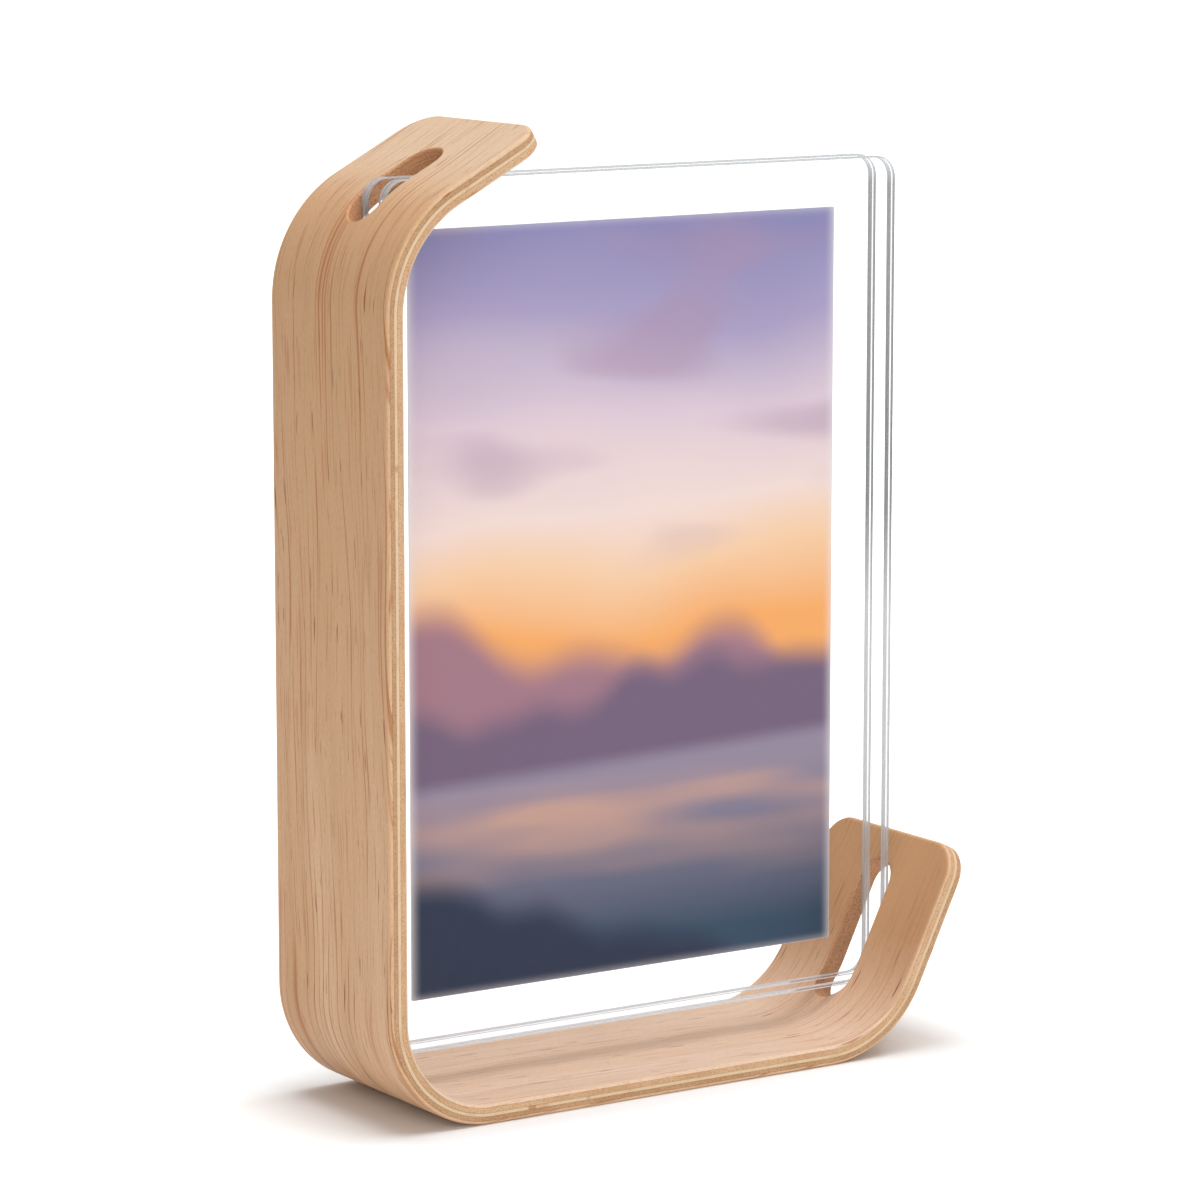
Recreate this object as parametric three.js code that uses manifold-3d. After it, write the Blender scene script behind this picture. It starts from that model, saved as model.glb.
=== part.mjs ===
// A desk stand for one photograph. A strip of five-ply moulded plywood is bent to a C: a flat base,
// an upright on the left, a lip curled over at the top and a lip curled up at the right. Two clear
// acrylic panes pass their opposite corners through a slot in each lip, and a mounted print is held
// between the panes. Millimetres, +Z up, seen from -Y. The origin is on the table, under the middle.

import * as THREE from 'three';
import { mergeVertices } from 'three/addons/utils/BufferGeometryUtils.js';
import Module from 'manifold-3d';

// The print, its board and the panes
const printWidth = 101.6;
const printHeight = 152.4;
const printThickness = 0.25;
const boardThickness = 3.5;
const boardInset = 2.6; // from the print's edges in to the board's
const mountGlue = 0.05; // between the print and its board
const sheetPlay = 0.1; // between the mounted print and each pane
const printShift = -3.5; // the print lies this far off the panes' middle, towards the upright
const paneBorder = 10; // clear margin round a print in the panes' middle
const paneThickness = 2.5;
const paneCorner = 4.5;

// The plywood, from the outside of the C to the inside
const outerFacePly = 0.75;
const outerCrossPly = 0.85;
const corePly = 0.65;
const innerCrossPly = 1;
const innerFacePly = 0.65;
const glueLine = 0.05;
const stripDepth = 44;

// The bends, by their inner radii, and the straight lips beyond them
const baseBendRadius = 19;
const lipBendRadius = 21;
const topBendRadius = 23.5;
const lipAngle = 64; // degrees above the table
const lipEndWood = 6.9; // from the slot to the lip's end
const topLipAngle = 28; // degrees above the table
const topEndWood = 11.5; // from the slot to the top lip's end
const endCorner = 7; // radius of the strip's four end corners, seen square on

// Where the panes sit in the C
const paneLift = 7.2; // from the base's upper face to the panes' lower edges
const paneToUpright = 6.2; // from the upright's inner face to the panes' left edges
const topCornerRise = 24.6; // from the top bend's axis up to the panes' upper edges
const lipCornerReach = 27; // from the lip bend's axis out to the panes' right edges

// The slots
const slotPlay = 0.2; // from the panes' outer faces to each side of a slot
const slotEndPlay = 0.2; // from the panes' edges to the ends of a slot

const arcSteps = 10; // half the number of flats in each bend
const cutReach = 14; // how far a cutter reaches on each side of the strip's inner face

const stripThickness = outerFacePly + outerCrossPly + corePly + innerCrossPly + innerFacePly + 4 * glueLine;
const paneWidth = printWidth + 2 * paneBorder;
const paneHeight = printHeight + 2 * paneBorder;
const paneGap = printThickness + mountGlue + boardThickness + 2 * sheetPlay;
const stackThickness = paneGap + 2 * paneThickness;
const slotWidth = stackThickness + 2 * slotPlay;

const radians = THREE.MathUtils.degToRad;
const wasm = await Module();
wasm.setup();

// A closed mesh as a solid for joining and cutting, and back again
function solidOf(geometry) {
  const bare = geometry.clone();
  bare.deleteAttribute('normal');
  bare.deleteAttribute('uv');
  const merged = mergeVertices(bare, 1e-5);
  const mesh = new wasm.Mesh({
    numProp: 3,
    vertProperties: new Float32Array(merged.attributes.position.array),
    triVerts: new Uint32Array(merged.index.array),
  });
  return new wasm.Manifold(mesh);
}

function geometryOf(solid) {
  const mesh = solid.getMesh();
  const geometry = new THREE.BufferGeometry();
  geometry.setAttribute('position', new THREE.BufferAttribute(new Float32Array(mesh.vertProperties), 3));
  geometry.setIndex(new THREE.BufferAttribute(new Uint32Array(mesh.triVerts), 1));
  return geometry;
}

// An outline drawn in X and Z, made solid from front to back
function slabOf(outline, frontY, depth) {
  const options = { depth, bevelEnabled: false, curveSegments: arcSteps };
  const geometry = new THREE.ExtrudeGeometry(outline, options);
  geometry.rotateX(Math.PI / 2);
  geometry.translate(0, frontY + depth, 0);
  return geometry;
}

// The C's profile, with x = 0 on the upright's inner face
const base = { x: baseBendRadius, z: stripThickness + baseBendRadius, radius: baseBendRadius };
const paneLeft = paneToUpright;
const paneRight = paneLeft + paneWidth;
const paneBottom = stripThickness + paneLift;
const paneTop = paneBottom + paneHeight;

// A lip is a bend and the straight beyond it. The turn is the way the straight points, in radians,
// and the side is where the outside of the C lies: +1 to the left of that way, -1 to the right.
function lipOf(x, z, radius, turn, side) {
  const along = new THREE.Vector2(Math.cos(turn), Math.sin(turn));
  const out = new THREE.Vector2(-Math.sin(turn), Math.cos(turn)).multiplyScalar(side);
  const axis = new THREE.Vector2(x, z);
  const start = axis.clone().addScaledVector(out, radius);
  return { axis, radius, turn, along, out, start };
}

const topLip = lipOf(topBendRadius, paneTop - topCornerRise, topBendRadius, radians(topLipAngle), 1);
const rightLip = lipOf(paneRight - lipCornerReach, stripThickness + lipBendRadius, lipBendRadius,
  radians(lipAngle), -1);

// A slot has round ends and is just long enough for the panes' edges, between the two points where
// these edges cross the strip's inner face. The panes' outer faces meet the round ends first.
const slotHalf = slotWidth / 2;
const slotInset = Math.sqrt(slotHalf ** 2 - (stackThickness / 2) ** 2);

function fitSlot(lip, lowPoint, highPoint, endWood) {
  lip.slotLow = lowPoint.sub(lip.start).dot(lip.along) - slotEndPlay + slotInset;
  lip.slotHigh = highPoint.sub(lip.start).dot(lip.along) + slotEndPlay - slotInset;
  lip.length = lip.slotHigh + slotHalf + endWood;
}

// The panes' left edges cross the top bend, and their upper edges the straight beyond it.
function placeTopSlot() {
  const reach = paneLeft - topLip.axis.x;
  const low = new THREE.Vector2(paneLeft, topLip.axis.y + Math.sqrt(topLip.radius ** 2 - reach ** 2));
  const run = (paneTop - topLip.start.y) / topLip.along.y;
  const high = topLip.start.clone().addScaledVector(topLip.along, run);
  fitSlot(topLip, low, high, topEndWood);
}

// The panes' lower edges cross the right bend, and their right edges the straight beyond it.
function placeRightSlot() {
  const drop = rightLip.axis.y - paneBottom;
  const low = new THREE.Vector2(rightLip.axis.x + Math.sqrt(rightLip.radius ** 2 - drop ** 2), paneBottom);
  const run = (paneRight - rightLip.start.x) / rightLip.along.x;
  const high = rightLip.start.clone().addScaledVector(rightLip.along, run);
  fitSlot(rightLip, low, high, lipEndWood);
}

placeTopSlot();
placeRightSlot();

function lipEnd(lip, offset) {
  return lip.start.clone().addScaledVector(lip.along, lip.length).addScaledVector(lip.out, offset);
}

// One ply: the band between two offsets from the inside of the C
function plyOutline(inner, outer) {
  const outline = new THREE.Shape();
  const topTurn = topLip.turn + Math.PI / 2;
  const lipTurn = rightLip.turn - Math.PI / 2;
  const down = -Math.PI / 2;
  outline.moveTo(...lipEnd(topLip, outer).toArray());
  outline.absarc(topLip.axis.x, topLip.axis.y, topLip.radius + outer, topTurn, Math.PI, false);
  outline.absarc(base.x, base.z, base.radius + outer, -Math.PI, down, false);
  outline.absarc(rightLip.axis.x, rightLip.axis.y, rightLip.radius + outer, down, lipTurn, false);
  outline.lineTo(...lipEnd(rightLip, outer).toArray());
  outline.lineTo(...lipEnd(rightLip, inner).toArray());
  outline.absarc(rightLip.axis.x, rightLip.axis.y, rightLip.radius + inner, lipTurn, down, true);
  outline.absarc(base.x, base.z, base.radius + inner, down, -Math.PI, true);
  outline.absarc(topLip.axis.x, topLip.axis.y, topLip.radius + inner, Math.PI, topTurn, true);
  outline.lineTo(...lipEnd(topLip, inner).toArray());
  return outline;
}

// A cutter drawn along the lip and across the strip, and driven straight through the lip
function lipCutter(lip, outline) {
  const options = { depth: 2 * cutReach, bevelEnabled: false, curveSegments: arcSteps };
  const geometry = new THREE.ExtrudeGeometry(outline, options);
  geometry.translate(0, 0, -cutReach);
  const along = new THREE.Vector3(lip.along.x, 0, lip.along.y);
  const across = new THREE.Vector3(0, 1, 0);
  const through = new THREE.Vector3().crossVectors(along, across);
  const place = new THREE.Matrix4().makeBasis(along, across, through);
  place.setPosition(lip.start.x, 0, lip.start.y);
  return solidOf(geometry.applyMatrix4(place));
}

// The waste in a slot
function slotCutter(lip) {
  const outline = new THREE.Shape();
  outline.absarc(lip.slotHigh, 0, slotHalf, -Math.PI / 2, Math.PI / 2, false);
  outline.absarc(lip.slotLow, 0, slotHalf, Math.PI / 2, Math.PI * 1.5, false);
  return lipCutter(lip, outline);
}

// The waste outside one rounded end corner, at the front (-1) or the back (+1)
function cornerCutter(lip, side) {
  const edge = stripDepth / 2;
  const spare = 1;
  const end = lip.length;
  const centre = { s: end - endCorner, y: side * (edge - endCorner) };
  const outline = new THREE.Shape();
  outline.moveTo(end + spare, side * (edge + spare));
  outline.lineTo(centre.s, side * (edge + spare));
  outline.absarc(centre.s, centre.y, endCorner, side * Math.PI / 2, 0, side > 0);
  outline.lineTo(end + spare, centre.y);
  return lipCutter(lip, outline);
}

const cutters = [];
for (const lip of [topLip, rightLip]) {
  cutters.push(slotCutter(lip), cornerCutter(lip, -1), cornerCutter(lip, 1));
}

function plyGeometry(inner, thickness) {
  let solid = solidOf(slabOf(plyOutline(inner, inner + thickness), -stripDepth / 2, stripDepth));
  for (const cutter of cutters) {
    solid = solid.subtract(cutter);
  }
  return geometryOf(solid);
}

// The panes: plain sheets with rounded corners
function paneGeometry(frontY) {
  const r = paneCorner;
  const outline = new THREE.Shape();
  outline.absarc(paneRight - r, paneBottom + r, r, -Math.PI / 2, 0, false);
  outline.absarc(paneRight - r, paneTop - r, r, 0, Math.PI / 2, false);
  outline.absarc(paneLeft + r, paneTop - r, r, Math.PI / 2, Math.PI, false);
  outline.absarc(paneLeft + r, paneBottom + r, r, Math.PI, Math.PI * 1.5, false);
  return slabOf(outline, frontY, paneThickness);
}

// The mounted print: two plain rectangles between the panes, the board hidden behind the print
function sheetGeometry(frontY, thickness, inset) {
  const middleX = (paneLeft + paneRight) / 2 + printShift;
  const middleZ = (paneBottom + paneTop) / 2;
  const sheet = new THREE.BoxGeometry(printWidth - 2 * inset, thickness, printHeight - 2 * inset);
  sheet.translate(middleX, frontY + thickness / 2, middleZ);
  return sheet;
}

const veneerLook = { roughness: 0.55, metalness: 0 };
const looks = {
  outerFace: new THREE.MeshStandardMaterial({ color: '#d8b28c', ...veneerLook }),
  outerCross: new THREE.MeshStandardMaterial({ color: '#b88860', ...veneerLook }),
  core: new THREE.MeshStandardMaterial({ color: '#e9cfb3', ...veneerLook }),
  innerCross: new THREE.MeshStandardMaterial({ color: '#d0ab86', ...veneerLook }),
  innerFace: new THREE.MeshStandardMaterial({ color: '#dab68f', ...veneerLook }),
};

function acrylic() {
  return new THREE.MeshStandardMaterial({
    color: '#f3f6f7', roughness: 0.05, metalness: 0, transparent: true, opacity: 0.25,
  });
}

const stand = new THREE.Group();
const middle = (lipEnd(rightLip, stripThickness).x - stripThickness) / 2;
stand.position.x = -middle;

function add(name, geometry, material) {
  const mesh = new THREE.Mesh(geometry, material);
  mesh.name = name;
  stand.add(mesh);
}

// The plies are laid up from the inside of the C outwards.
const plies = [
  ['inner_face_veneer', innerFacePly, looks.innerFace],
  ['inner_crossband', innerCrossPly, looks.innerCross],
  ['core_veneer', corePly, looks.core],
  ['outer_crossband', outerCrossPly, looks.outerCross],
  ['outer_face_veneer', outerFacePly, looks.outerFace],
];
let offset = 0;
for (const [name, thickness, material] of plies) {
  add(name, plyGeometry(offset, thickness), material);
  offset += thickness + glueLine;
}

// The sheets are stacked from front to back about the strip's middle.
const frontPaneY = -stackThickness / 2;
const printY = frontPaneY + paneThickness + sheetPlay;
const boardY = printY + printThickness + mountGlue;
const rearPaneY = boardY + boardThickness + sheetPlay;
add('front_pane', paneGeometry(frontPaneY), acrylic());
add('photo_print', sheetGeometry(printY, printThickness, 0),
  new THREE.MeshStandardMaterial({ color: '#a48fb2', roughness: 0.4, metalness: 0 }));
add('mount_board', sheetGeometry(boardY, boardThickness, boardInset),
  new THREE.MeshStandardMaterial({ color: '#efece6', roughness: 0.8, metalness: 0 }));
add('rear_pane', paneGeometry(rearPaneY), acrylic());

export default stand;
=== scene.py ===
import math
from types import SimpleNamespace

import bmesh
import bpy
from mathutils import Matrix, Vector


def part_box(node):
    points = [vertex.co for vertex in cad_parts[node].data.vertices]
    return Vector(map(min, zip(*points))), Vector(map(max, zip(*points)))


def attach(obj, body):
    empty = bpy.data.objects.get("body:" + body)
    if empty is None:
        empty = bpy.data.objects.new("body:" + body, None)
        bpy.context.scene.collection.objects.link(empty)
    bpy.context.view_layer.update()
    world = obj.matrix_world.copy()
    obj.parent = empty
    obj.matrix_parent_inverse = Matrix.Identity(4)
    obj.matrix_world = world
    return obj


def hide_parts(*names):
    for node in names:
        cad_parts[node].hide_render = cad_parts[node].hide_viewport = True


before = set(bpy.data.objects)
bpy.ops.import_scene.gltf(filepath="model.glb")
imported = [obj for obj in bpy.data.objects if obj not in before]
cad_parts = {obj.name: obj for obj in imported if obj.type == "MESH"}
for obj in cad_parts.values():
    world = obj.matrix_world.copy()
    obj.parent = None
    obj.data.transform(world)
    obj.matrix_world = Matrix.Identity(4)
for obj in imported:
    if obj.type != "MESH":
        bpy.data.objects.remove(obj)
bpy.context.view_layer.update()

# The bent strip
# Five veneers of beech are laid crosswise with glue and pressed in a heated mould to a C. The two curled
# ends are slotted for the panes' corners, all end corners are rounded, and every arris is sanded off.
# Sizes are in millimetres. A place on the strip is its run along the grain and its depth from the front.
strip_depth = 44
strip_thickness = 4.1
arris = 0.9  # radius of the sanded edges
slot_arris = 0.45
end_corner = 7
inner_face_ply = 0.65
glue_line = 0.05

upright_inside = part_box("inner_face_veneer")[0][0] * 1000 + inner_face_ply
pane_left, pane_front, pane_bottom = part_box("front_pane")[0] * 1000
pane_right, pane_back, pane_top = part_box("rear_pane")[1] * 1000

base_radius = 19
base_axis = Vector((upright_inside + base_radius, strip_thickness + base_radius))
slot_half = (pane_back - pane_front) / 2 + 0.2
slot_end_play = 0.2
join_wood = 5  # from a slot to where the plain strip begins
slot_inset = math.sqrt(slot_half**2 - ((pane_back - pane_front) / 2) ** 2)


def curled_end(axis, radius, rise, side):
    """A bend and the straight beyond it, rising by that many degrees. The side is the C's outside."""
    turn = math.radians(rise)
    along = Vector((math.cos(turn), math.sin(turn)))
    out = Vector((-math.sin(turn), math.cos(turn))) * side
    return SimpleNamespace(axis=axis, radius=radius, along=along, out=out, start=axis + out * radius)


def fit_slot(curl, low_point, high_point, end_wood):
    """The slot between the places where the panes' edges meet the curl, and the wood left beyond it."""
    curl.slot_low = (low_point - curl.start).dot(curl.along) - slot_end_play + slot_inset
    curl.slot_high = (high_point - curl.start).dot(curl.along) + slot_end_play - slot_inset
    curl.end = curl.slot_high + slot_half + end_wood
    curl.join = curl.slot_low - slot_half - join_wood


top_radius = 23.5
top_drop = 24.6  # from the panes' top down to the bend's axis
top_rise = 28
top_curl = curled_end(Vector((upright_inside + top_radius, pane_top - top_drop)), top_radius, top_rise, 1)
top_curl.sweep = math.radians(90 - top_rise)
top_reach = math.sqrt(top_curl.radius**2 - (pane_left - top_curl.axis.x) ** 2)
fit_slot(
    top_curl,
    Vector((pane_left, top_curl.axis.y + top_reach)),
    top_curl.start + top_curl.along * ((pane_top - top_curl.start.y) / top_curl.along.y),
    end_wood=11.5,
)

side_radius = 21
side_inset = 27  # from the panes' right edge back to the bend's axis
side_rise = 64
side_axis = Vector((pane_right - side_inset, strip_thickness + side_radius))
side_curl = curled_end(side_axis, side_radius, side_rise, -1)
side_curl.sweep = math.radians(side_rise)
side_reach = math.sqrt(side_curl.radius**2 - (side_curl.axis.y - pane_bottom) ** 2)
fit_slot(
    side_curl,
    Vector((side_curl.axis.x + side_reach, pane_bottom)),
    side_curl.start + side_curl.along * ((pane_right - side_curl.start.x) / side_curl.along.x),
    end_wood=6.9,
)


def on_curl(curl, u, level):
    """The point u along the curl and a level out from the inside. Behind u = 0 it lies on the bend."""
    reach = curl.radius + level
    if u >= 0:
        return curl.axis + curl.out * reach + curl.along * u
    lean = math.asin(u / reach)
    return curl.axis + (curl.out * math.cos(lean) + curl.along * math.sin(lean)) * reach


def curl_run(curl, u):
    """The run along the grain from the bend's end to u, in the middle of the strip's thickness."""
    reach = curl.radius + strip_thickness / 2
    return u if u >= 0 else reach * math.asin(u / reach)


bend_steps = 14
base_bend_steps = 30
straight_steps = 24


def plain_rows(level):
    """The strip between the two curls: its points from the top one down the upright to the other."""
    rows = []
    reach = top_curl.radius + level
    first = math.asin(top_curl.join / reach)
    for step in range(bend_steps):
        lean = first - (top_curl.sweep + first) * step / bend_steps
        spoke = top_curl.out * math.cos(lean) + top_curl.along * math.sin(lean)
        rows.append(top_curl.axis + spoke * reach)
    for step in range(straight_steps):
        fall = (top_curl.axis.y - base_axis.y) * step / straight_steps
        rows.append(Vector((upright_inside - level, top_curl.axis.y - fall)))
    reach = base_axis.x - upright_inside + level
    for step in range(base_bend_steps):
        turn = math.pi * (1 + step / base_bend_steps / 2)
        rows.append(base_axis + Vector((math.cos(turn), math.sin(turn))) * reach)
    for step in range(straight_steps):
        go = (side_curl.axis.x - base_axis.x) * step / straight_steps
        rows.append(Vector((base_axis.x + go, strip_thickness - level)))
    reach = side_curl.radius + level
    last = math.asin(side_curl.join / reach)
    for step in range(bend_steps + 1):
        lean = -side_curl.sweep + (side_curl.sweep + last) * step / bend_steps
        spoke = side_curl.out * math.cos(lean) + side_curl.along * math.sin(lean)
        rows.append(side_curl.axis + spoke * reach)
    return rows


plain_runs = [-curl_run(top_curl, top_curl.join)]
middle_rows = plain_rows(strip_thickness / 2)
for one, two in zip(middle_rows, middle_rows[1:]):
    plain_runs.append(plain_runs[-1] + (two - one).length)
lip_run = plain_runs[-1] - curl_run(side_curl, side_curl.join)  # where the side curl's straight begins


def strip_point(curl, u, depth, level):
    """A place on a curl as its point and its grain: the run along the strip, the depth and the level."""
    flat = on_curl(curl, u, level)
    if curl is top_curl:
        run = -curl_run(curl, u)
    else:
        run = lip_run + curl_run(curl, u)
    return (flat.x, depth, flat.y), (run, depth, level)


def sanded(level, radius):
    """How far an arris of that radius draws the edge in, at a level out from the inside."""
    drop = min(level, strip_thickness - level)
    if drop >= radius:
        return 0
    return radius - math.sqrt(max(radius**2 - (radius - drop) ** 2, 0))


across_steps = 30
side_steps = 24
corner_steps = 10
end_steps = 24
spoke_steps = 8
near_edge = (0.2, 0.6)  # rows kept close to an arris, so that its shading stays narrow


def across_depths(edge):
    """The depths of a row's points, from the back to the front."""
    inside = edge - near_edge[1]
    plain = [inside - 2 * inside * step / across_steps for step in range(across_steps + 1)]
    rim = [edge, edge - near_edge[0]]
    return rim + plain + [-depth for depth in reversed(rim)]


def curl_outline(curl, inset):
    """The curl's outline once round, as (u, depth): along its join, then front side, end and back side."""
    edge = strip_depth / 2 - inset
    points = [(curl.join, depth) for depth in across_depths(edge)]
    straight = curl.end - end_corner
    centre = strip_depth / 2 - end_corner
    side = [curl.join + (straight - curl.join) * step / side_steps for step in range(1, side_steps)]
    turns = [math.pi / 2 * step / corner_steps for step in range(corner_steps + 1)]
    reach = end_corner - inset
    corner = [(straight + reach * math.sin(turn), centre + reach * math.cos(turn)) for turn in turns]
    points += [(u, -edge) for u in side]
    points += [(u, -depth) for u, depth in corner]
    points += [(curl.end - inset, centre * (2 * step / end_steps - 1)) for step in range(1, end_steps)]
    points += reversed(corner)
    points += [(u, edge) for u in reversed(side)]
    return points


def curl_rings(curl, level):
    """Rings of (u, depth) round the slot, from its rim out to the curl's outline."""
    rim = slot_half + sanded(level, slot_arris)
    nominal = curl_outline(curl, 0)
    outline = curl_outline(curl, sanded(level, arris))
    spokes = []
    for (u, depth), edge in zip(nominal, outline):
        middle = Vector((min(max(u, curl.slot_low), curl.slot_high), 0))
        ray = (Vector((u, depth)) - middle).normalized()
        start = middle + ray * rim
        whole = Vector(edge) - start
        length = whole.length
        clear = length - 2 * near_edge[1]
        inner = [near_edge[1] + clear * step / spoke_steps for step in range(spoke_steps + 1)]
        places = [0, near_edge[0], *inner, length - near_edge[0], length]
        spokes.append([start + whole * (place / length) for place in places])
    return [list(ring) for ring in zip(*spokes)]


class Ply:
    """A mesh under way, whose points keep their places on the strip."""

    def __init__(self):
        self.mesh = bmesh.new()
        self.grain = self.mesh.verts.layers.float_vector.new("grain")

    def point(self, place, grain):
        vertex = self.mesh.verts.new(Vector(place) / 1000)
        vertex[self.grain] = grain
        return vertex

    def row(self, places):
        return [self.point(*place) for place in places]

    def band(self, one, two, closed, finish=0):
        """Faces between two rows of points."""
        count = len(one)
        for number in range(count if closed else count - 1):
            after = (number + 1) % count
            face = self.mesh.faces.new((one[number], one[after], two[after], two[number]))
            face.material_index = finish


def lay_face(ply, level):
    """The whole of the strip's surface at one level."""
    depths = across_depths(strip_depth / 2 - sanded(level, arris))
    joins = []
    for curl in (top_curl, side_curl):
        rings = []
        for ring in curl_rings(curl, level):
            rings.append(ply.row(strip_point(curl, u, depth, level) for u, depth in ring))
        for one, two in zip(rings, rings[1:]):
            ply.band(one, two, closed=True)
        joins.append(rings[-1][: len(depths)])
    rows = [joins[0]]
    for flat, run in list(zip(plain_rows(level), plain_runs))[1:-1]:
        rows.append(ply.row(((flat.x, depth, flat.y), (run, depth, level)) for depth in depths))
    rows.append(joins[1])
    for one, two in zip(rows, rows[1:]):
        ply.band(one, two, closed=False)


def edge_loop(level):
    """The strip's edge once round at one level: over the top curl, down the back, and up the front."""
    inset = sanded(level, arris)
    edge = strip_depth / 2 - inset
    across = len(across_depths(edge)) - 1
    sides = []
    for curl in (top_curl, side_curl):
        outline = curl_outline(curl, inset)
        sides.append([strip_point(curl, u, depth, level) for u, depth in outline[across:] + outline[:1]])
    rows = list(zip(plain_rows(level), plain_runs))[1:-1]
    back = [((flat.x, edge, flat.y), (run, edge, level)) for flat, run in rows]
    front = [((flat.x, -edge, flat.y), (run, -edge, level)) for flat, run in rows]
    return sides[0] + back + sides[1][::-1] + front[::-1]


def top_slot_loop(level):
    return [strip_point(top_curl, u, depth, level) for u, depth in curl_rings(top_curl, level)[0]]


def side_slot_loop(level):
    return [strip_point(side_curl, u, depth, level) for u, depth in curl_rings(side_curl, level)[0]]


arris_steps = 10


def lay_ply(name, inner, outer, wood):
    """One veneer between two levels, with its share of the sanded arrises and of the slots' walls."""
    marks = {inner, outer}
    for step in range(arris_steps):
        drop = arris * (1 - math.sin(math.radians(90 * step / arris_steps)))
        marks.update(level for level in (drop, strip_thickness - drop) if inner < level < outer)
    levels = sorted(marks)
    ply = Ply()
    lay_face(ply, levels[0])
    lay_face(ply, levels[-1])
    for loop, finish in ((edge_loop, 0), (top_slot_loop, 1), (side_slot_loop, 1)):
        rows = [ply.row(loop(level)) for level in levels]
        for one, two in zip(rows, rows[1:]):
            ply.band(one, two, closed=True, finish=finish)
    bmesh.ops.remove_doubles(ply.mesh, verts=ply.mesh.verts, dist=1e-6)
    bmesh.ops.recalc_face_normals(ply.mesh, faces=ply.mesh.faces)
    uv = ply.mesh.loops.layers.uv.new("run_and_depth")
    for face in ply.mesh.faces:
        for corner in face.loops:
            corner[uv].uv = corner.vert[ply.grain].xy
    piece = finish_mesh(ply.mesh, name)
    piece.data.materials.append(wood)
    piece.data.materials.append(slot_wall)
    return piece


sharp_edge = math.radians(32)  # faces that meet at more than this keep a hard edge


def finish_mesh(mesh, name):
    """A bmesh as an object, smooth but for its real edges."""
    data = bpy.data.meshes.new(name)
    mesh.to_mesh(data)
    mesh.free()
    data.set_sharp_from_angle(angle=sharp_edge)
    piece = bpy.data.objects.new(name, data)
    bpy.context.scene.collection.objects.link(piece)
    return piece


def to_linear(code):
    """An sRGB hex colour as linear red, green, blue and alpha."""
    parts = [int(code[start : start + 2], 16) / 255 for start in (1, 3, 5)]
    return (*[p / 12.92 if p <= 0.04045 else ((p + 0.055) / 1.055) ** 2.4 for p in parts], 1)


def add_node(tree, kind, inputs, output=0, **settings):
    """Adds a node and gives one of its outputs. Inputs go by name or in order, as values or as outputs."""
    node = tree.nodes.new("ShaderNode" + kind)
    for name, value in settings.items():
        setattr(node, name, value)
    for name, value in inputs.items() if isinstance(inputs, dict) else enumerate(inputs):
        if isinstance(value, bpy.types.NodeSocket):
            tree.links.new(value, node.inputs[name])
        else:
            node.inputs[name].default_value = value
    return node.outputs[output]


def new_material(name):
    """An empty material with its node tree and its Principled shader."""
    material = bpy.data.materials.new(name)
    material.use_nodes = True
    return material, material.node_tree, material.node_tree.nodes["Principled BSDF"]


# Beech seen at a cut edge: a stippled band of open pores with a few darker patches.
def cut_grain(name, pale, deep, pore, seed):
    material, tree, shader = new_material(name)
    place = add_node(tree, "TexCoord", [], "Object")

    def speckle(size, detail, shift):
        """Noise with marks of that size in millimetres."""
        where = {"Vector": place, "Location": (seed, shift, seed * 2), "Scale": [1000 / size] * 3}
        spot = add_node(tree, "Mapping", where)
        return add_node(tree, "TexNoise", {"Vector": spot, "Scale": 1, "Detail": detail})

    patches = add_node(tree, "MapRange", [speckle(9, 2, 0), 0.35, 0.65, 0, 1])
    # The open pores are about 0.1 mm wide. They are drawn at 0.35 mm, to show at all.
    dots = add_node(tree, "MapRange", [speckle(0.35, 1, 5), 0.48, 0.64, 0, 0.5])
    colour = to_linear(pale)
    for share, tone in ((patches, deep), (dots, pore)):
        colour = add_node(tree, "Mix", {0: share, 6: colour, 7: to_linear(tone)}, 2, data_type="RGBA")
    tree.links.new(colour, shader.inputs["Base Color"])
    tree.links.new(add_node(tree, "MapRange", [dots, 0, 0.5, 0.55, 0.75]), shader.inputs["Roughness"])
    hollows = {"Strength": 0.4, "Distance": 0.00005, "Height": dots}
    tree.links.new(add_node(tree, "Bump", hollows, invert=True), shader.inputs["Normal"])
    shader.inputs["IOR"].default_value = 1.45
    return material


# The slots' walls, through all five veneers, have a browner and darker tone than the strip's other cut edges.
slot_wall = cut_grain("beech_slot_wall_browner", "#d49d73", "#c08a61", "#956543", seed=4)

upright_runs = (30, 190)  # the run near the top of the upright and round its foot
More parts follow.
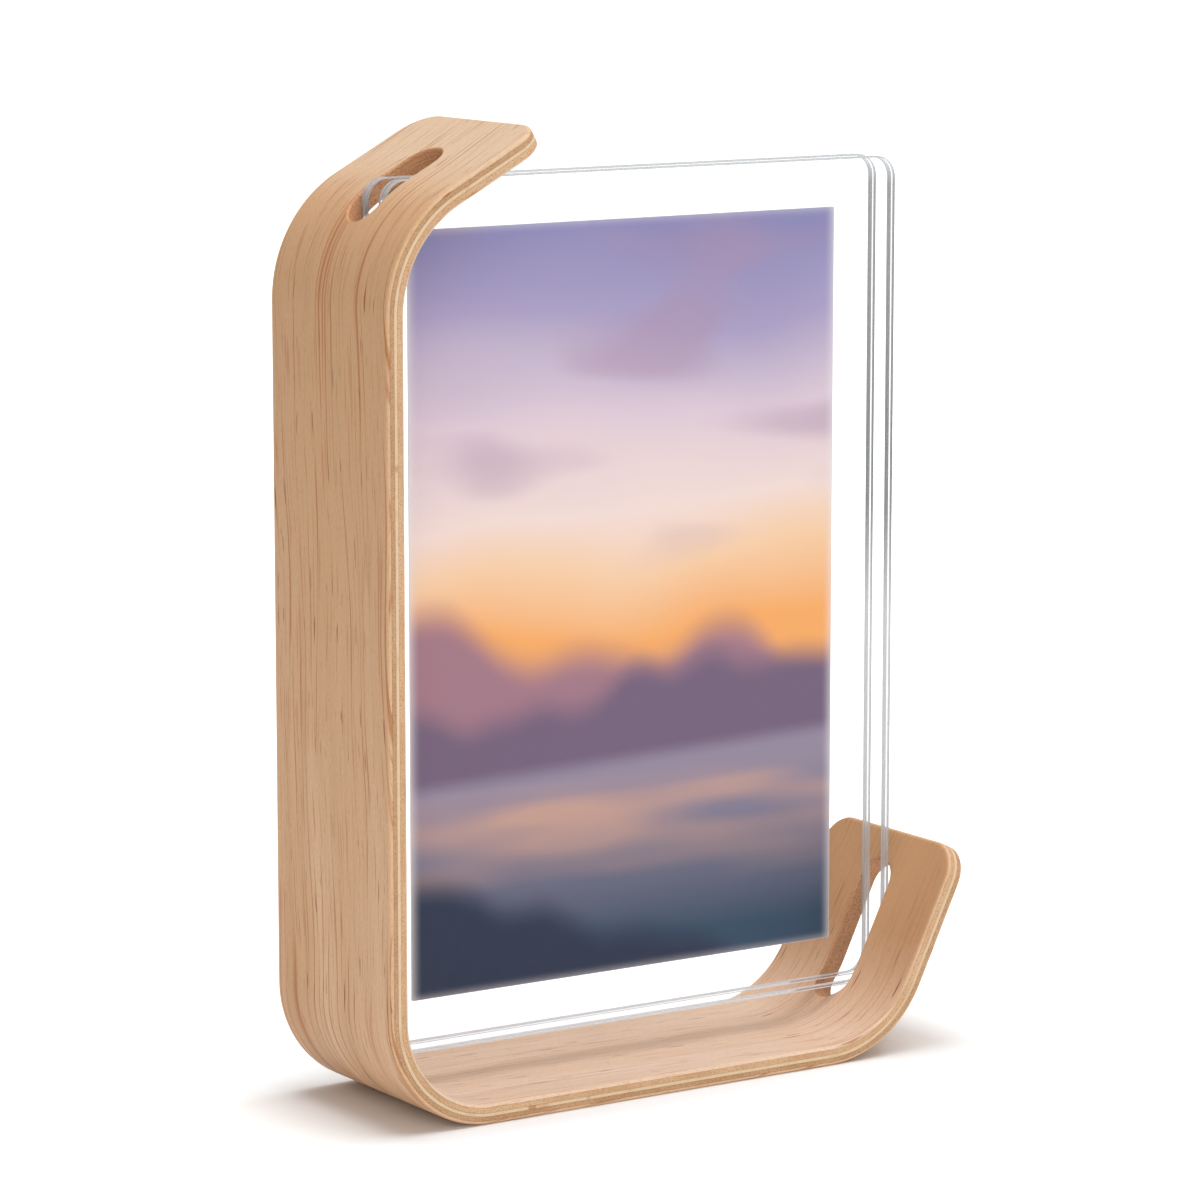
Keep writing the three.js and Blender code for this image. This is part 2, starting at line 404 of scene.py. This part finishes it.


# Rotary-cut beech face veneer under a thin satin lacquer. The eye gets a warm pale ground, fine growth
# lines that run the strip's whole length, and the short dark dashes of the wood's rays between them. The
# ground can be painted paler from the top of the upright down round its foot, as painted light for the
# floor's bounce. The strip's two ends take tones of their own: on the outer face the top end is paler, a
# painted sheen, and on the inner face the lip is darker, painted shade. The sanded arrises have lost the
# lacquer's tone and are paler.
def face_veneer(
    name, face_level, ground, foot_painted_light, deep, top_end_tone_and_sheen, lip_tone_and_shade, bare, line, fleck, long_lines, seed
):
    material, tree, shader = new_material(name)
    grain = add_node(tree, "UVMap", [], uv_map="run_and_depth")

    def streaks(path, long, wide, detail, shift):
        """Noise with marks of that length and width in millimetres."""
        start = (seed * 7.3, seed * 3.1, seed + shift)
        scale = (1 / long, 1 / wide, 1)
        place = add_node(tree, "Mapping", {"Vector": path, "Location": start, "Scale": scale})
        return add_node(tree, "TexNoise", {"Vector": place, "Scale": 1, "Detail": detail, "Roughness": 0.55})

    # The log wasn't quite straight: the lines slant a little, and drift by up to 2 mm.
    run = add_node(tree, "SeparateXYZ", [grain], "X")
    drift = add_node(tree, "MapRange", [streaks(grain, 60, 16, 1, 50), 0.2, 0.8, -2, 2])
    slant = add_node(tree, "Math", [run, 0.04, drift], operation="MULTIPLY_ADD")
    sideways = add_node(tree, "CombineXYZ", {"Y": slant})
    path = add_node(tree, "VectorMath", [grain, sideways])

    bands = add_node(tree, "MapRange", [streaks(path, 160, 7, 2, 0), 0.3, 0.7, 0, 1])
    # Painted light: the ground turns to the foot colour from near the top of the upright down round its foot,
    # for the floor's bounce.
    foot_light_share = add_node(tree, "MapRange", [run, *upright_runs, 0, 1])
    # The top end's own colour. On the outer face it is paler, a painted sheen.
    top_end = add_node(tree, "MapRange", [run, 8, -8, 0, 1])
    # The side lip's own colour. On the inner face it is darker, painted shade.
    lip_end = add_node(tree, "MapRange", [run, lip_run - 18, lip_run + 8, 0, 1])
    growth = add_node(tree, "MapRange", [streaks(path, 80, 0.8, 2, 10), 0.6, 0.65, 0, long_lines])
    hairs = add_node(tree, "MapRange", [streaks(path, 18, 0.45, 1, 15), 0.6, 0.7, 0, 0.5])
    dashes = add_node(tree, "MapRange", [streaks(path, 8, 0.6, 0, 20), 0.74, 0.79, 0, 1])
    groups = add_node(tree, "MapRange", [streaks(path, 30, 5, 1, 30), 0.4, 0.6, 0.25, 0.9])
    rays = add_node(tree, "Math", [dashes, groups], operation="MULTIPLY")
    level = add_node(tree, "Attribute", [], "Vector", attribute_name="grain")
    level = add_node(tree, "SeparateXYZ", [level], "Z")
    under = add_node(tree, "Math", [level, face_level], operation="SUBTRACT")
    under = add_node(tree, "Math", [under], operation="ABSOLUTE")
    sanding = add_node(tree, "MapRange", [under, 0.1, 0.4, 0, 0.6])
    # The real pores are under 0.1 mm. They are drawn three times as wide, to show at all.
    pores = streaks(path, 1.1, 0.28, 2, 40)
    stains = add_node(tree, "MapRange", [pores, 0.55, 0.3, 0, 0.2])
    colour = to_linear(ground)
    for share, tone in (
        (foot_light_share, foot_painted_light),
        (bands, deep),
        (top_end, top_end_tone_and_sheen),
        (lip_end, lip_tone_and_shade),
        (sanding, bare),
        (stains, line),
        (growth, line),
        (hairs, line),
        (rays, fleck),
    ):
        colour = add_node(tree, "Mix", {0: share, 6: colour, 7: to_linear(tone)}, 2, data_type="RGBA")

    marks = add_node(tree, "Math", [growth, rays])
    relief = add_node(tree, "Math", [pores, marks], operation="SUBTRACT")
    tree.links.new(colour, shader.inputs["Base Color"])
    tree.links.new(add_node(tree, "MapRange", [pores, 0.2, 0.8, 0.42, 0.56]), shader.inputs["Roughness"])
    bump = {"Strength": 0.35, "Distance": 0.00004, "Height": relief}
    tree.links.new(add_node(tree, "Bump", bump), shader.inputs["Normal"])
    shader.inputs["IOR"].default_value = 1.45
    shader.inputs["Specular IOR Level"].default_value = 0.15
    shader.inputs["Coat Weight"].default_value = 0.08
    shader.inputs["Coat Roughness"].default_value = 0.38
    return material


# Inner face veneer
# The beech sheet on the inside of the C, laid first in the mould with its grain along the strip. It is
# glued to the tan crossband.
inner_face_veneer = lay_ply(
    "inner_face_veneer_beech",
    0,
    inner_face_ply,
    face_veneer(
        "beech_face_veneer_inner",
        face_level=0,
        # Paler and less saturated than the outer face's ground: in part the beech's own colour, in part a
        # painted sheen for the lit inside of the C.
        ground="#f2d5bf",
        foot_painted_light="#f2d5bf",
        deep="#e8c7ab",
        top_end_tone_and_sheen="#e8c5a6",
        # Painted shade: the lip's inside darker.
        lip_tone_and_shade="#ca9d74",
        bare="#f0d4b8",
        line="#bb7d48",
        fleck="#8a4f26",
        long_lines=0.3,
        seed=3,
    ),
)
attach(inner_face_veneer, "stand")
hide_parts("inner_face_veneer")

# Inner crossband
# The thicker of the two cross-grained sheets, tan, glued between the inner face and the core. Only its
# cut edge shows: as end grain in the strip's sides, as long grain at its ends, and browner in the slots.
tan_beech = cut_grain("beech_crossband_tan", "#e1ba92", "#d6ab81", "#ad7f52", seed=2)
inner_crossband_ply = 1
tan_inside = inner_face_ply + glue_line
tan_outside = tan_inside + inner_crossband_ply
inner_crossband = lay_ply("inner_crossband_beech", tan_inside, tan_outside, tan_beech)
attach(inner_crossband, "stand")
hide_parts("inner_crossband")

# Core veneer
# The cream middle sheet, with its grain along the strip again. It is glued between the two crossbands and
# shows as a pale line in the strip's edge.
core_ply = 0.65
core_inside = tan_outside + glue_line
core_outside = core_inside + core_ply
core_veneer = lay_ply(
    "core_veneer_beech",
    core_inside,
    core_outside,
    face_veneer(
        "beech_core_veneer",
        face_level=0,
        ground="#ebd0ae",
        foot_painted_light="#ebd0ae",
        deep="#e3c49d",
        top_end_tone_and_sheen="#e3c49d",
        lip_tone_and_shade="#e3c49d",
        bare="#ecd2b0",
        line="#d3ad83",
        fleck="#b98b60",
        long_lines=0.4,
        seed=5,
    ),
)
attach(core_veneer, "stand")
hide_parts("core_veneer")

# Outer crossband
# The brown cross-grained sheet, cut nearer the log's heart, glued between the core and the outer face. It
# is the darkest line in the strip's edge.
brown_beech = cut_grain("beech_crossband_brown", "#cea57d", "#c2966e", "#976b49", seed=8)
outer_crossband_ply = 0.85
brown_inside = core_outside + glue_line
brown_outside = brown_inside + outer_crossband_ply
outer_crossband = lay_ply("outer_crossband_beech", brown_inside, brown_outside, brown_beech)
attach(outer_crossband, "stand")
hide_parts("outer_crossband")

# Outer face veneer
# The beech sheet on the outside of the C, which is seen most and stands on the table. It is glued to the
# brown crossband, and its arrises are sanded round.
outer_face_veneer = lay_ply(
    "outer_face_veneer_beech",
    brown_outside + glue_line,
    strip_thickness,
    face_veneer(
        "beech_face_veneer_outer",
        face_level=strip_thickness,
        ground="#cea77f",
        # Painted light: paler towards the upright's foot, for the floor's bounce.
        foot_painted_light="#f3ceaa",
        deep="#d7ac83",
        # Painted sheen: the top end paler and less saturated.
        top_end_tone_and_sheen="#dbbfa1",
        lip_tone_and_shade="#d7ac83",
        bare="#e7c69f",
        line="#a95506",
        fleck="#8a4210",
        long_lines=0.6,
        seed=11,
    ),
)
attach(outer_face_veneer, "stand")
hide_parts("outer_face_veneer")


# Rear pane
# Clear cast acrylic, laser-cut with rounded corners and polished at its edges. Its opposite corners pass
# through the strip's two slots, and only these hold it.
round_steps = 12
flat_rim = 1.6  # where a face's flat begins, in bevels. It keeps the arris's shading off the face.


def cut_sheet(name, node, corner, bevel, bevel_steps):
    """A flat sheet in a node's place. Its finishes are front, cut edge, arris and back, in this order."""
    low, high = (Vector(place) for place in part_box(node))
    mesh = bmesh.new()

    def outline(depth, inset):
        points = []
        for quarter in range(4):
            right = quarter in (0, 3)
            upper = quarter in (0, 1)
            x = high.x - corner if right else low.x + corner
            z = high.z - corner if upper else low.z + corner
            for step in range(round_steps + 1):
                turn = math.radians(90 * quarter + 90 * step / round_steps)
                reach = corner - inset
                points.append(mesh.verts.new((x + reach * math.cos(turn), depth, z + reach * math.sin(turn))))
        return points

    rounds = []
    for step in range(bevel_steps + 1):
        turn = math.pi / 2 * step / bevel_steps
        rounds.append((bevel * (1 - math.sin(turn)), bevel * (1 - math.cos(turn))))
    rounds.append((0, bevel * flat_rim))
    loops = [outline(low.y + drop, inset) for drop, inset in reversed(rounds)]
    loops += [outline(high.y - drop, inset) for drop, inset in rounds]
    mesh.faces.new(loops[0]).material_index = 0
    mesh.faces.new(loops[-1]).material_index = 3
    finishes = [0] + [2] * bevel_steps + [1] + [2] * bevel_steps + [3]
    for finish, one, two in zip(finishes, loops, loops[1:]):
        for number in range(len(one)):
            after = (number + 1) % len(one)
            face = mesh.faces.new((one[number], one[after], two[after], two[number]))
            face.material_index = finish
    bmesh.ops.recalc_face_normals(mesh, faces=mesh.faces)
    uv = mesh.loops.layers.uv.new("sheet")
    for face in mesh.faces:
        for place in face.loops:
            across = (place.vert.co.x - low.x) / (high.x - low.x)
            up = (place.vert.co.z - low.z) / (high.z - low.z)
            place[uv].uv = (across, up)
    return finish_mesh(mesh, name)


# Cast acrylic, IOR 1.49. Its polished faces are as good as unseen against white: they pass light, and
# mirror the studio only at a glance.
def acrylic_face(name):
    material, tree, shader = new_material(name)
    tree.nodes.remove(shader)
    place = add_node(tree, "TexCoord", [], "Object")
    smears = add_node(tree, "TexNoise", {"Vector": place, "Scale": 30, "Detail": 1})
    polish = add_node(tree, "MapRange", [smears, 0.2, 0.8, 0.01, 0.04])
    mirror = add_node(tree, "BsdfAnisotropic", {"Roughness": polish})
    clear = add_node(tree, "BsdfTransparent", {"Color": (1, 1, 1, 1)})
    # The usual curve for gloss at a glance, without its 4% square on, which would veil the print.
    glance = add_node(tree, "LayerWeight", {"Blend": 0.5}, "Facing")
    share = add_node(tree, "Math", [glance, 5], operation="POWER")
    surface = add_node(tree, "MixShader", [share, clear, mirror])
    tree.links.new(surface, tree.nodes["Material Output"].inputs["Surface"])
    return material


# The same acrylic where it was cut and its arrises were scraped. Light gathers in the edge and comes out
# again on whichever side: the edge is clear along its middle and has two milky rims. The rims' colour is
# painted by height: white at the bottom, painted light from the pale floor, grey from halfway up, painted
# shade for the dimmer room, and paler again near the top. The bottom edge is a mirror from within.
def acrylic_edge(name):
    material, tree, shader = new_material(name)
    sheet = add_node(tree, "UVMap", [], uv_map="sheet")
    up = add_node(tree, "SeparateXYZ", [sheet], "Y")
    rims = to_linear("#eaf2fb")
    # Painted light and shade on the rims, by height up the sheet.
    for start, end, tone in (
        (0.005, 0.02, "#bcbec0"),
        (0.45, 0.58, "#6a6d70"),
        (0.65, 0.95, "#8b8e91"),
        (0.965, 0.99, "#c3c8cc"),
    ):
        share = add_node(tree, "MapRange", [up, start, end, 0, 1])
        rims = add_node(tree, "Mix", {0: share, 6: rims, 7: to_linear(tone)}, 2, data_type="RGBA")
    place = add_node(tree, "TexCoord", [], "Generated")
    through = add_node(tree, "SeparateXYZ", [place], "Y")
    off = add_node(tree, "Math", [through, 0.5], operation="SUBTRACT")
    off = add_node(tree, "Math", [off], operation="ABSOLUTE")
    milky = add_node(tree, "MapRange", [off, 0.05, 0.12, 0, 1])
    tones = {0: milky, 6: to_linear("#dfe2e5"), 7: rims}
    colour = add_node(tree, "Mix", tones, 2, data_type="RGBA")
    spot = add_node(tree, "TexCoord", [], "Object")
    saw = add_node(tree, "TexNoise", {"Vector": spot, "Scale": 900, "Detail": 2})
    tree.links.new(add_node(tree, "MapRange", [saw, 0, 1, 0.15, 0.3]), shader.inputs["Roughness"])
    tree.links.new(colour, shader.inputs["Base Color"])
    shader.inputs["IOR"].default_value = 1.49
    piped = add_node(tree, "BsdfTranslucent", {"Color": colour})
    lit = add_node(tree, "MixShader", [0.5, shader.outputs[0], piped])
    flat = add_node(tree, "MapRange", [off, 0.34, 0.4, 0.85, 0])
    low = add_node(tree, "MapRange", [up, 0.005, 0.02, 1, 0])
    share = add_node(tree, "Math", [flat, low], operation="MULTIPLY")
    mirror = add_node(tree, "BsdfAnisotropic", {"Roughness": 0.1})
    lit = add_node(tree, "MixShader", [share, lit, mirror])
    clear = add_node(tree, "BsdfTransparent", {"Color": (1, 1, 1, 1)})
    body = add_node(tree, "MapRange", [milky, 0, 1, 0.35, 0.92])
    surface = add_node(tree, "MixShader", [body, clear, lit])
    tree.links.new(surface, tree.nodes["Material Output"].inputs["Surface"])
    return material


polished_face = acrylic_face("cast_acrylic_polished_face")
cut_edge = acrylic_edge("cast_acrylic_cut_edge")
acrylic = (polished_face, cut_edge, cut_edge, polished_face)
pane_corner = 0.0045
pane_bevel = 0.0003

rear_pane = cut_sheet("rear_pane_acrylic", "rear_pane", pane_corner, pane_bevel, bevel_steps=3)
for finish in acrylic:
    rear_pane.data.materials.append(finish)
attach(rear_pane, "stand")
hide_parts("rear_pane")


# Mount board
# White card facings on a foamed core, cut a little smaller than the print so that it doesn't show from in
# front. The print is stuck to it, and its thickness keeps the panes apart.
def paper_finish(name, pale, deep, fibre, rough):
    """Uncoated paper or foam: a pale ground with fibres or cells of that size in millimetres."""
    material, tree, shader = new_material(name)
    place = add_node(tree, "TexCoord", [], "Object")
    cells = {"Vector": place, "Scale": 1000 / fibre, "Detail": 3, "Roughness": 0.65}
    pulp = add_node(tree, "TexNoise", cells)
    ground = {0: pulp, 6: to_linear(pale), 7: to_linear(deep)}
    tree.links.new(add_node(tree, "Mix", ground, 2, data_type="RGBA"), shader.inputs["Base Color"])
    sheen = add_node(tree, "MapRange", [pulp, 0, 1, rough - 0.06, rough + 0.06])
    tree.links.new(sheen, shader.inputs["Roughness"])
    tooth = add_node(tree, "Bump", {"Strength": 0.3, "Distance": 0.00003, "Height": pulp})
    tree.links.new(tooth, shader.inputs["Normal"])
    shader.inputs["IOR"].default_value = 1.45
    return material


cut_corner = 0.0004
board_bevel = 0.00012
mount_board = cut_sheet("mount_board_card", "mount_board", cut_corner, board_bevel, bevel_steps=3)
card_facing = paper_finish("white_card_facing", "#f4f2ee", "#e9e6e0", 0.5, 0.8)
board_core = paper_finish("foamed_board_core", "#fdfcfa", "#efece7", 0.35, 0.9)
for finish in (card_facing, board_core, card_facing, card_facing):
    mount_board.data.materials.append(finish)
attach(mount_board, "picture")
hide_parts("mount_board")


# Photo print
# A satin inkjet print on resin-coated paper, stuck to the board. The picture is an out-of-focus dusk view
# of hills above a lake, and it fades to the white paper at its edges.
def dusk_print(name, wide, high):
    """The picture, drawn from soft gradients on a sheet of that size in millimetres."""
    material, tree, shader = new_material(name)
    sheet = add_node(tree, "UVMap", [], uv_map="sheet")
    across = add_node(tree, "SeparateXYZ", [sheet], "X")
    up = add_node(tree, "SeparateXYZ", [sheet], "Y")

    def haze(wide_scale, high_scale, shift):
        """Slow noise, stretched sideways or upward."""
        where = {"Vector": sheet, "Location": [shift] * 3, "Scale": (wide_scale, high_scale, 1)}
        spot = add_node(tree, "Mapping", where)
        return add_node(tree, "TexNoise", {"Vector": spot, "Scale": 1, "Detail": 1})

    # The sky, from the glow behind the hills upward
    wander = add_node(tree, "MapRange", [haze(1.6, 4, 4), 0.2, 0.8, -0.05, 0.05])
    view = add_node(tree, "ValToRGB", [add_node(tree, "Math", [up, wander])])
    stops = view.node.color_ramp.elements
    for place, colour in (
        (0.45, "#ffb56c"),
        (0.54, "#ffd8b2"),
        (0.62, "#fbe6e0"),
        (0.74, "#e6d4e2"),
        (0.86, "#b0a6ce"),
        (0.98, "#9290c0"),
    ):
        stops.new(place).color = to_linear(colour)
    stops.remove(stops[len(stops) - 1])
    stops.remove(stops[0])
    high_up = add_node(tree, "MapRange", [up, 0.5, 0.7, 0, 1])
    wisps = add_node(tree, "MapRange", [haze(2.2, 9, 9), 0.52, 0.72, 0, 0.5], interpolation_type="SMOOTHSTEP")
    layers = [(add_node(tree, "Math", [wisps, high_up], operation="MULTIPLY"), "#b497b4")]

    # The hills, the lake before them and the near bank, each filled below its own line
    for start, slope, bumps, rise, blur, colour in (
        (0.5, -0.16, 2.1, 0.1, 0.035, "#a87e8e"),
        (0.36, 0.08, 2.8, 0.09, 0.028, "#776480"),
        (0.275, 0.02, 1, 0, 0.015, "#9a8fa6"),
        (0.15, -0.2, 4, 0.03, 0.03, "#242f49"),
    ):
        line = add_node(tree, "Math", [across, slope, start], operation="MULTIPLY_ADD")
        crest = add_node(tree, "MapRange", [haze(bumps, 0, start * 40), 0.25, 0.75, -rise, rise])
        depth = add_node(tree, "Math", [add_node(tree, "Math", [line, crest]), up], operation="SUBTRACT")
        edge = add_node(tree, "MapRange", [depth, -blur, blur, 0, 1], interpolation_type="SMOOTHSTEP")
        layers.append((edge, colour))

    # The lake is deeper in colour towards the bank, and mirrors the glow further out.
    deep = add_node(tree, "MapRange", [up, 0.26, 0.04, 0, 1])
    layers.insert(-1, (deep, "#334c66"))
    far_out = add_node(tree, "MapRange", [up, 0.1, 0.22, 0, 1])
    gleam = add_node(tree, "MapRange", [haze(1.6, 15, 21), 0.42, 0.68, 0, 0.7])
    on_water = add_node(tree, "MapRange", [up, 0.27, 0.24, 0, 1])
    lit = add_node(tree, "Math", [gleam, far_out], operation="MULTIPLY")
    layers.insert(-1, (add_node(tree, "Math", [lit, on_water], operation="MULTIPLY"), "#e0b097"))

    # The fade to white paper at the sheet's edges, wider and paler at its sides
    for place, size, reach, most in ((across, wide, 2.6, 0.75), (up, high, 2.0, 0.55)):
        off = add_node(tree, "Math", [place, 0.5], operation="SUBTRACT")
        off = add_node(tree, "Math", [off], operation="ABSOLUTE")
        margin = add_node(tree, "Math", [off, -size, size / 2], operation="MULTIPLY_ADD")
        near = add_node(tree, "MapRange", [margin, 0, reach, most, 0])
        layers.append((add_node(tree, "Math", [near, near], operation="MULTIPLY"), "#f6f4f8"))

    for share, colour in layers:
        view = add_node(tree, "Mix", {0: share, 6: view, 7: to_linear(colour)}, 2, data_type="RGBA")
    tree.links.new(view, shader.inputs["Base Color"])
    satin = add_node(tree, "TexNoise", {"Vector": sheet, "Scale": 12, "Detail": 1})
    tree.links.new(add_node(tree, "MapRange", [satin, 0.2, 0.8, 0.42, 0.46]), shader.inputs["Roughness"])
    shader.inputs["IOR"].default_value = 1.5
    shader.inputs["Specular IOR Level"].default_value = 0.3
    return material


print_width = 101.6
print_height = 152.4
paper_bevel = 0.00008
photo_print = cut_sheet("photo_print_paper", "photo_print", cut_corner, paper_bevel, bevel_steps=2)
printed_face = dusk_print("satin_photo_paper_printed", print_width, print_height)
plain_paper = paper_finish("photo_paper_unprinted", "#f2f1f4", "#e4e2e8", 0.4, 0.7)
for finish in (printed_face, plain_paper, plain_paper, plain_paper):
    photo_print.data.materials.append(finish)
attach(photo_print, "picture")
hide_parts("photo_print")

# Front pane
# The twin of the rear pane, cut and polished alike from the same acrylic. It stands in front of the print,
# and its corners pass through the same two slots.
front_pane = cut_sheet("front_pane_acrylic", "front_pane", pane_corner, pane_bevel, bevel_steps=3)
for finish in acrylic:
    front_pane.data.materials.append(finish)
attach(front_pane, "stand")
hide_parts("front_pane")

# Floor
# A wide sheet of white paper that the stand is photographed on. It keeps the shadow, and shows white
# wherever none falls.
paper_half = 9
paper_corners = [(x, y, 0) for x, y in ((-1, -1), (1, -1), (1, 1), (-1, 1))]
floor_mesh = bpy.data.meshes.new("paper_floor")
floor_mesh.from_pydata([Vector(corner) * paper_half for corner in paper_corners], [], [(0, 1, 2, 3)])
floor = bpy.data.objects.new("paper_floor", floor_mesh)
bpy.context.scene.collection.objects.link(floor)
floor_material, floor_tree, floor_shader = new_material("white_background_paper")
floor_shader.inputs["Base Color"].default_value = to_linear("#f5f8fb")
floor_shader.inputs["Roughness"].default_value = 0.9
floor_shader.inputs["Specular IOR Level"].default_value = 0.0


def background_rays(tree):
    """1 for the rays that show the background, straight or by way of a shiny or clear surface."""
    shown = add_node(tree, "LightPath", [], "Is Camera Ray")
    for ray in ("Is Glossy Ray", "Is Transmission Ray"):
        shown = add_node(tree, "Math", [shown, add_node(tree, "LightPath", [], ray)], operation="MAXIMUM")
    return shown


# The sheet shows white but for the stand's own shadow: from a few millimetres off the foot on, a glow that
# only camera, glossy and transmission rays see lifts it towards white, more with the distance, and soonest
# behind the stand. Far off this makes an even white backdrop; near the foot it is painted light, which
# pales and shortens the shadow's tail.
foot = (0.062, 0.016, 0)  # half the sides of a rectangle about the size of the foot
shadow_start = 0.003
shadow_end = 0.022
far_end = 0.75
behind_start = 0.02
behind_end = 0.14
spot = add_node(floor_tree, "TexCoord", [], "Object")
past = add_node(floor_tree, "VectorMath", [spot], operation="ABSOLUTE")
past = add_node(floor_tree, "VectorMath", [past, foot], operation="SUBTRACT")
past = add_node(floor_tree, "VectorMath", [past, (0, 0, 0)], operation="MAXIMUM")
away = add_node(floor_tree, "VectorMath", [past], "Value", operation="LENGTH")
near = add_node(floor_tree, "MapRange", [away, shadow_start, shadow_end, 0, 0.34])
far = add_node(floor_tree, "MapRange", [away, shadow_end, far_end, 0, 0.6])
back = add_node(floor_tree, "SeparateXYZ", [spot], "Y")
behind = add_node(floor_tree, "MapRange", [back, behind_start, behind_end, 0, 0.4])
lift = add_node(floor_tree, "Math", [near, far])
lift = add_node(floor_tree, "Math", [lift, behind], operation="MAXIMUM")
lift = add_node(floor_tree, "Math", [lift, background_rays(floor_tree)], operation="MULTIPLY")
# Painted light: a glow that only camera, glossy and transmission rays see.
glow = add_node(floor_tree, "Emission", {"Color": (1, 1, 1, 1), "Strength": lift})
both = add_node(floor_tree, "AddShader", [floor_shader.outputs[0], glow])
floor_tree.links.new(both, floor_tree.nodes["Material Output"].inputs["Surface"])
floor_mesh.materials.append(floor_material)

# Studio light
# An even surround, a little warm, that shows as white. One large soft box hangs almost overhead, a little
# to the right, and throws the stand's shadow to the left. A weaker one stands low in front and lights the
# print and the strip's edge.
surround_light = 0.38
world = bpy.data.worlds.new("white_studio")
bpy.context.scene.world = world
world.use_nodes = True
sky_tree = world.node_tree
shown = background_rays(sky_tree)
surround = sky_tree.nodes["Background"]
tones = {0: shown, 6: to_linear("#fff5ec"), 7: (1, 1, 1, 1)}
sky_tree.links.new(add_node(sky_tree, "Mix", tones, 2, data_type="RGBA"), surround.inputs["Color"])
strength = add_node(sky_tree, "MapRange", [shown, 0, 1, surround_light, 1])
sky_tree.links.new(strength, surround.inputs["Strength"])


def soft_box(name, place, aim, size, power):
    lamp = bpy.data.lights.new(name, "AREA")
    lamp.shape = "SQUARE"
    lamp.size = size
    lamp.energy = power
    box = bpy.data.objects.new(name, lamp)
    box.location = place
    box.rotation_euler = (Vector(aim) - Vector(place)).to_track_quat("-Z", "Y").to_euler()
    bpy.context.scene.collection.objects.link(box)


soft_box("key_soft_box", place=(0.2, -0.1, 1.5), aim=(0, 0, 0.08), size=1.35, power=18)
soft_box("front_soft_box", place=(-0.6, -1.3, 0.45), aim=(0, 0, 0.05), size=1.0, power=6)

# Camera
# A long lens from the front left, a little above the stand, as photographed. Its place and its angle come
# from the stand's own parallel edges.
camera_data = bpy.data.cameras.new("camera")
camera_data.sensor_width = 36
camera_data.lens = 149.08
camera_data.clip_end = 100
camera = bpy.data.objects.new("camera", camera_data)
camera.location = (-0.5477, -0.82, 0.2578)
camera.rotation_euler = (math.radians(80.714), 0, math.radians(-33.374))
bpy.context.scene.collection.objects.link(camera)
bpy.context.scene.camera = camera
bpy.context.scene.view_settings.view_transform = "Standard"
